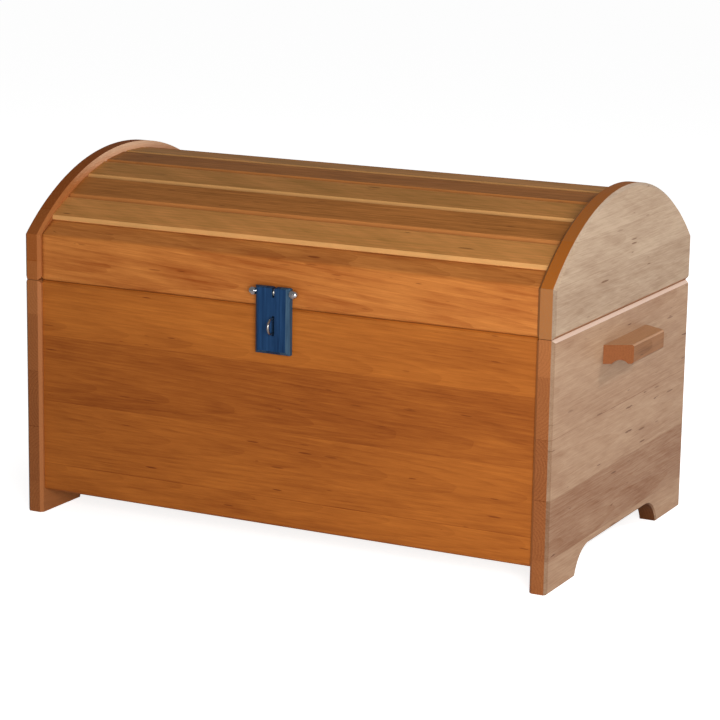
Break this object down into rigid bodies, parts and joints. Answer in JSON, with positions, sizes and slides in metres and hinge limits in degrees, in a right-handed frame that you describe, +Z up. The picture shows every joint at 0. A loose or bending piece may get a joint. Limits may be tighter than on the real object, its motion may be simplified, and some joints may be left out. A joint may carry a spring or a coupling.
{
  "type": "treasure chest",
  "caption": "Wooden toy or blanket chest with an arched slatted lid on hinges, block handles on the ends, and a stained hasp over a staple ring.",
  "frame": {"origin": "on the floor, under the middle of the whole chest, handles, hasp and hinges included", "axes": "+X to the right seen from the front, along the chest; +Y from the front to the back; +Z up"},
  "size_m": [0.869, 0.5232, 0.502],
  "materials": {
    "wood_front": "oiled, satin",
    "wood_end": "oiled, satin",
    "wood_lid_board": "oiled, satin",
    "wood_slat_light": "oiled, satin",
    "wood_slat_dark": "oiled, satin",
    "wood_back": "oiled, satin",
    "wood_bottom": "oiled, satin",
    "wood_handle": "oiled, satin",
    "wood_dowel": "oiled, satin",
    "stained_blue": "dark blue stain, satin",
    "steel": "zinc-plated, satin",
    "bright_steel": "bright plated"
  },
  "bodies": {
    "box": {"box_end_left": "wood_end", "box_end_right": "wood_end", "box_front": "wood_front", "box_back": "wood_back", "box_bottom": "wood_bottom", "box_dowels": "wood_dowel", "handle_left": "wood_handle", "handle_right": "wood_handle", "handle_screws": "steel", "box_hinge_leaf_left": "steel", "box_hinge_leaf_right": "steel", "box_hinge_screws": "steel", "hinge_pins": "steel", "hasp_staple": "bright_steel", "stay_stud": "steel"},
    "lid": {"lid_end_left": "wood_end", "lid_end_right": "wood_end", "lid_front": "wood_lid_board", "lid_back": "wood_back", "lid_slat_1": "wood_slat_light", "lid_slat_2": "wood_slat_dark", "lid_slat_3": "wood_slat_light", "lid_slat_4": "wood_slat_dark", "lid_slat_5": "wood_slat_light", "lid_slat_6": "wood_slat_dark", "lid_slat_7": "wood_slat_light", "lid_slat_8": "wood_slat_dark", "lid_slat_9": "wood_slat_light", "lid_dowels": "wood_dowel", "lid_hinge_leaf_left": "steel", "lid_hinge_leaf_right": "steel", "lid_hinge_screws": "steel", "hasp_eye": "bright_steel", "stay_pivot": "steel"},
    "hasp": {"hasp_tab": "stained_blue", "hasp_rod": "bright_steel", "hasp_washers": "bright_steel", "hasp_nuts": "bright_steel"},
    "stay": {"stay_arm": "steel"}
  },
  "joints": [
    {"name": "lid_hinge", "type": "hinge", "parent": "box", "child": "lid", "pos_m": [0, 0.25665, 0.335], "axis": [-1, 0, 0], "range_deg": [0, 100]},
    {"name": "hasp_swing", "type": "hinge", "parent": "lid", "child": "hasp", "pos_m": [-0.0025, -0.24115, 0.3563], "axis": [-1, 0, 0], "range_deg": [0, 160]},
    {"name": "stay_turn", "type": "hinge", "parent": "lid", "child": "stay", "pos_m": [-0.372, 0.13847, 0.35584], "axis": [1, 0, 0], "range_deg": [0, 50]}
  ],
  "couplings": [
    {"joint": "stay_turn", "follows": "lid_hinge", "ratio": 0.5}
  ]
}
